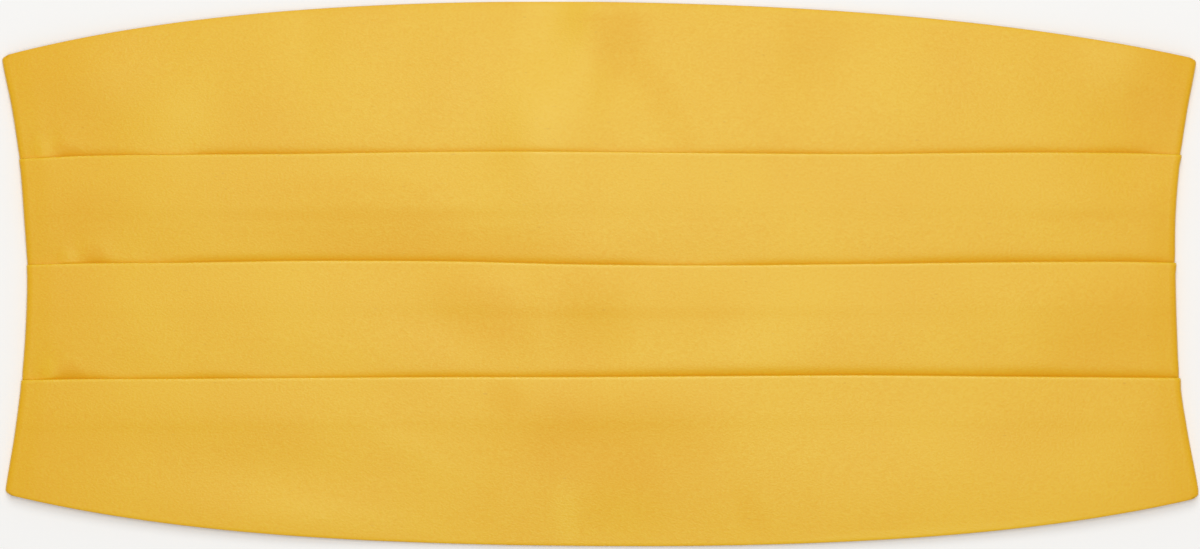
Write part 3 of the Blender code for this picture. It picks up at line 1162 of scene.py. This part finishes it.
class Nodes:
    """A new material, and the nodes that feed its shader."""

    def __init__(self, name: str) -> None:
        """Start the material.

        Args:
            name: the material's name.
        """
        self.material = bpy.data.materials.new(name)
        self.material.use_nodes = True
        self.tree = self.material.node_tree
        self.place = self.add("TexCoord", "Object", {})

    def feed(self, node: bpy.types.Node, inputs: dict) -> None:
        """Set a node's inputs.

        Args:
            node: the node.
            inputs: a value or a socket to link from, by input name or number.
        """
        for place, value in inputs.items():
            if isinstance(value, bpy.types.NodeSocket):
                self.tree.links.new(value, node.inputs[place])
            else:
                node.inputs[place].default_value = value

    def add(self, kind: str, output: int | str, inputs: dict, **settings: object) -> bpy.types.NodeSocket:
        """Add a node.

        Args:
            kind: the end of the node type's name.
            output: which of its outputs is wanted.
            inputs: its inputs, as feed takes them.
            settings: values of the node's own properties.

        Returns:
            The output's socket.
        """
        node = self.tree.nodes.new("ShaderNode" + kind)
        for name, value in settings.items():
            setattr(node, name, value)
        self.feed(node, inputs)
        return node.outputs[output]

    def noise(self, scale: float, detail: float, rough: float = 0.5,
              grain: tuple[float, float] | None = None) -> bpy.types.NodeSocket:
        """Add a noise.

        Args:
            scale: patterns to a metre, or to a grain.
            detail: how many finer layers it has.
            rough: how strong they are.
            grain: length along X and thickness of a stretched pattern, in millimetres.

        Returns:
            Its strength.
        """
        place = self.place
        if grain:
            thin = per_metre(grain[1])
            place = self.add("Mapping", 0, {"Vector": place, "Scale": (per_metre(grain[0]), thin, thin)})
        inputs = {"Vector": place, "Scale": scale, "Detail": detail, "Roughness": rough}
        return self.add("TexNoise", "Fac", inputs)

    def calculate(self, kind: str, *values: object, clamp: bool = False) -> bpy.types.NodeSocket:
        """Add a calculation of the given kind, with numbers or sockets."""
        return self.add("Math", 0, dict(enumerate(values)), operation=kind, use_clamp=clamp)

    def blend(self, share: bpy.types.NodeSocket, low: object, high: object) -> bpy.types.NodeSocket:
        """Mix two colours, from the low one where the share is 0 to the high one where it is 1."""
        return self.add("Mix", 2, {"Factor": share, 6: low, 7: high}, data_type="RGBA")

    def relief(self, strength: float, depth: float, height: bpy.types.NodeSocket) -> bpy.types.NodeSocket:
        """Turn a pattern into relief, so many millimetres deep."""
        return self.add("Bump", 0, {"Strength": strength, "Distance": MM * depth, "Height": height})

    def finished(self, inputs: dict) -> bpy.types.Material:
        """Feed the shader and give the material."""
        self.feed(self.tree.nodes["Principled BSDF"], inputs)
        return self.material


@dataclass(frozen=True)
class WovenSatin:
    """Polyester satin, woven with long floats and pressed: smooth, softly glossy, faintly streaked.

    The floats give a broad milky gloss over a deep yellow dye, and the yarn's uneven thickness gives
    fine streaks along X with a slub here and there.
    """

    name: str = "woven_polyester_satin"
    light: str = "#EBBD20"        # colour at the light end of the mix: light streaks of yarn, and the painted sheen
    deep: str = "#E6A600"         # colour at the deep end: darker streaks, and the painted shade
    slub: str = "#B9720E"         # thicker ends of yarn, which look browner
    streak: tuple[float, float] = (0.6, 0.4)    # yarn is about 0.1 mm thick, drawn coarser to show
    streak_share: float = 1.2     # how far the streaks move the shade between light and deep
    slub_grain: tuple[float, float] = (1.3, 0.5)
    slub_from: float = 0.75       # only the noise's peaks from here
    slub_full: float = 0.84       # to here are slubs
    slub_share: float = 0.24
    patch: float = 30.0           # broad unevenness left by pressing
    patch_share: float = 0.6
    painted_light_share: float = 0.45     # how far the painted sheen and shade move the mix between light and deep
    mark_gloss: float = 0.09     # how much smoother the cloth is made where the painted sheen lies
    shade_start: float = -0.1     # what the patches and the streaks are added to
    shade_less: float = 0.30      # what is then taken off the shade, cut at 1
    gloss_tint: str = "#E4FFD8"   # light that has passed through the dyed floats
    roughness: float = 0.37
    gloss_swing: float = 0.09
    index: float = 1.50

    def make(self) -> bpy.types.Material:
        """The satin as a material."""
        nodes = Nodes(self.name)
        streak = nodes.noise(1.0, 3.0, 0.6, self.streak)
        patch = nodes.noise(per_metre(self.patch), 2.0)
        slub = nodes.add("MapRange", 0, {
            "Value": nodes.noise(0.7, 1.0, 0.4, self.slub_grain),
            "From Min": self.slub_from, "From Max": self.slub_full, "To Max": self.slub_share,
        })
        # painted sheen and painted shade, read from the panel's point attribute
        pressed = nodes.add("Attribute", "Fac", {}, attribute_name=PAINTED_LIGHT_ATTRIBUTE)
        shade = nodes.calculate("MULTIPLY_ADD", pressed, self.painted_light_share, self.shade_start)
        shade = nodes.calculate("MULTIPLY_ADD", patch, self.patch_share, shade)
        shade = nodes.calculate("MULTIPLY_ADD", streak, self.streak_share, shade, clamp=True)
        shade = nodes.calculate("SUBTRACT", shade, self.shade_less, clamp=True)
        # the satin's colour: dye with its streaks, plus the painted sheen and painted shade
        dye = nodes.blend(shade, linear(self.deep), linear(self.light))
        gloss = nodes.add("MapRange", 0, {
            "Value": streak,
            "To Min": self.roughness + self.gloss_swing, "To Max": self.roughness - self.gloss_swing,
        })
        return nodes.finished({
            "Base Color": nodes.blend(slub, dye, linear(self.slub)),
            "Roughness": nodes.calculate("MULTIPLY_ADD", pressed, -self.mark_gloss, gloss),
            "Normal": nodes.relief(0.9, 0.05, streak),
            "IOR": self.index,
            "Specular Tint": linear(self.gloss_tint),
        })


@dataclass(frozen=True)
class WovenWebbing:
    """Polyester webbing, woven with heavy weft ribs: matt, with fine warp lines along it."""

    name: str = "woven_polyester_webbing"
    light: str = "#E3B040"
    deep: str = "#B98320"
    warp: float = 0.5
    fuzz: float = 0.6             # loose fibres, which break the warp lines up
    roughness: float = 0.72
    index: float = 1.57

    def make(self) -> bpy.types.Material:
        """The webbing as a material."""
        nodes = Nodes(self.name)
        warp = nodes.add("TexWave", "Fac", {
            "Vector": nodes.place, "Scale": per_metre(self.warp) / 20, "Distortion": 0.4, "Detail": 1.0,
        }, bands_direction="Y")
        shade = nodes.calculate("MULTIPLY", warp, nodes.noise(per_metre(self.fuzz), 3.0))
        return nodes.finished({
            "Base Color": nodes.blend(shade, linear(self.deep), linear(self.light)),
            "Normal": nodes.relief(0.5, 0.08, shade),
            "Roughness": self.roughness,
            "IOR": self.index,
            "Sheen Weight": 0.15,
        })


@dataclass(frozen=True)
class MouldedAcetal:
    """Acetal, injection moulded: an even yellow with a fine spark-eroded grain and a soft gloss."""

    name: str = "moulded_acetal"
    light: str = "#E0AC3A"
    deep: str = "#D09A2C"
    grit: float = 0.35
    flow: float = 9.0             # faint unevenness where the plastic ran into its mould
    roughness: float = 0.38
    gloss_swing: float = 0.06
    index: float = 1.48

    def make(self) -> bpy.types.Material:
        """The plastic as a material."""
        nodes = Nodes(self.name)
        grain = nodes.noise(per_metre(self.grit), 2.0)
        flow = nodes.noise(per_metre(self.flow), 1.0)
        gloss = nodes.add("MapRange", 0, {
            "Value": grain,
            "To Min": self.roughness - self.gloss_swing, "To Max": self.roughness + self.gloss_swing,
        })
        return nodes.finished({
            "Base Color": nodes.blend(flow, linear(self.deep), linear(self.light)),
            "Roughness": gloss,
            "Normal": nodes.relief(0.3, 0.02, grain),
            "IOR": self.index,
        })


@dataclass(frozen=True)
class PaintedBoard:
    """Matt white board, painted and rolled: the pale floor, with a trace of roller texture."""

    name: str = "rolled_white_paint"
    colour: str = "#FBFAF8"
    nap: float = 2.5              # the roller's marks
    roughness: float = 0.9

    def make(self) -> bpy.types.Material:
        """The board as a material."""
        nodes = Nodes(self.name)
        return nodes.finished({
            "Base Color": linear(self.colour),
            "Roughness": self.roughness,
            "Normal": nodes.relief(0.05, 0.05, nodes.noise(per_metre(self.nap), 2.0)),
            "Specular IOR Level": 0.2,
        })


# ---- the studio ----------------------------------------------------------------------------------
@dataclass(frozen=True)
class SoftLamp:
    """A soft box that shines at the middle of the part."""

    name: str
    place: tuple[float, float, float]    # in metres, as its size is
    size: tuple[float, float]            # across the part, and up it
    power: float

    def make(self) -> bpy.types.Object:
        """Hang the lamp."""
        light = bpy.data.lights.new(self.name, "AREA")
        light.shape = "RECTANGLE"
        light.size, light.size_y = self.size
        light.energy = self.power
        lamp = bpy.data.objects.new(self.name, light)
        lamp.location = self.place
        x, y, z = self.place
        lamp.rotation_euler = (-math.asin(y / math.hypot(x, y, z)), math.atan2(x, z), 0.0)
        lamp.visible_camera = False
        bpy.context.scene.collection.objects.link(lamp)
        return lamp


@dataclass(frozen=True)
class Studio:
    """A pale floor, plain soft light and a camera straight above the part."""

    floor_size: float = 8.0       # metres
    floor_height: float = -0.05   # millimetres, just under what rests on it
    fill: float = 0.39            # strength of the white surroundings
    lens: float = 135.0
    sensor: float = 36.0
    image_width: float = 1200.0   # pixels
    pixel: float = 0.2328         # millimetres of the object to a pixel
    face_height: float = 1.5      # where the outline's widest points lie
    aim: tuple[float, float] = (-0.10, -0.13)

    def make(self, finish: bpy.types.Material) -> None:
        """Build the floor, the lamps and the camera.

        Args:
            finish: the floor's material.
        """
        half = self.floor_size / MM / 2
        corners = np.array([(-half, half, 0), (half, half, 0), (-half, -half, 0), (half, -half, 0)], float)
        corners[:, 2] = self.floor_height
        floor = add_piece("floor", corners, grid_faces(np.array([[0, 1], [2, 3]])), finish)
        for lamp in (
            SoftLamp("overhead", (0.03, 0.10, 1.35), (0.50, 1.00), 8.6),
            SoftLamp("upper", (-0.12, 1.70, 1.70), (1.10, 1.10), 13.0),
        ):
            lamp.make()
        world = bpy.data.worlds.new("white_surroundings")
        world.use_nodes = True
        world.node_tree.nodes["Background"].inputs["Color"].default_value = (1.0, 1.0, 1.0, 1.0)
        world.node_tree.nodes["Background"].inputs["Strength"].default_value = self.fill
        scene = bpy.context.scene
        scene.world = world
        scene.view_settings.view_transform = "Standard"
        data = bpy.data.cameras.new("camera")
        data.lens = self.lens
        data.sensor_width = self.sensor
        camera = bpy.data.objects.new("camera", data)
        seen = MM * self.pixel * self.image_width
        distance = seen * self.lens / self.sensor
        camera.location = (MM * self.aim[0], MM * self.aim[1], MM * self.face_height + distance)
        scene.collection.objects.link(camera)
        scene.camera = camera


def main() -> None:
    """Build the cummerbund and its studio, piece by piece."""
    logging.basicConfig(level=logging.INFO, format="%(message)s")
    log = logging.getLogger("cummerbund")
    satin = WovenSatin().make()
    webbing = WovenWebbing().make()
    plastic = MouldedAcetal().make()
    board = PaintedBoard().make()
    outline = Outline()
    made = [PleatedPanel(outline).make(satin)]
    made += [FoldedEnd(outline, hand).make(satin) for hand in Hand]
    made += [BackStrap(hand).make(webbing) for hand in Hand]
    made.append(BackClasp().make(plastic))
    for piece in made:
        log.info("made %s with %d faces", piece.name, len(piece.data.polygons))
    Studio().make(board)


if __name__ == "__main__":
    main()
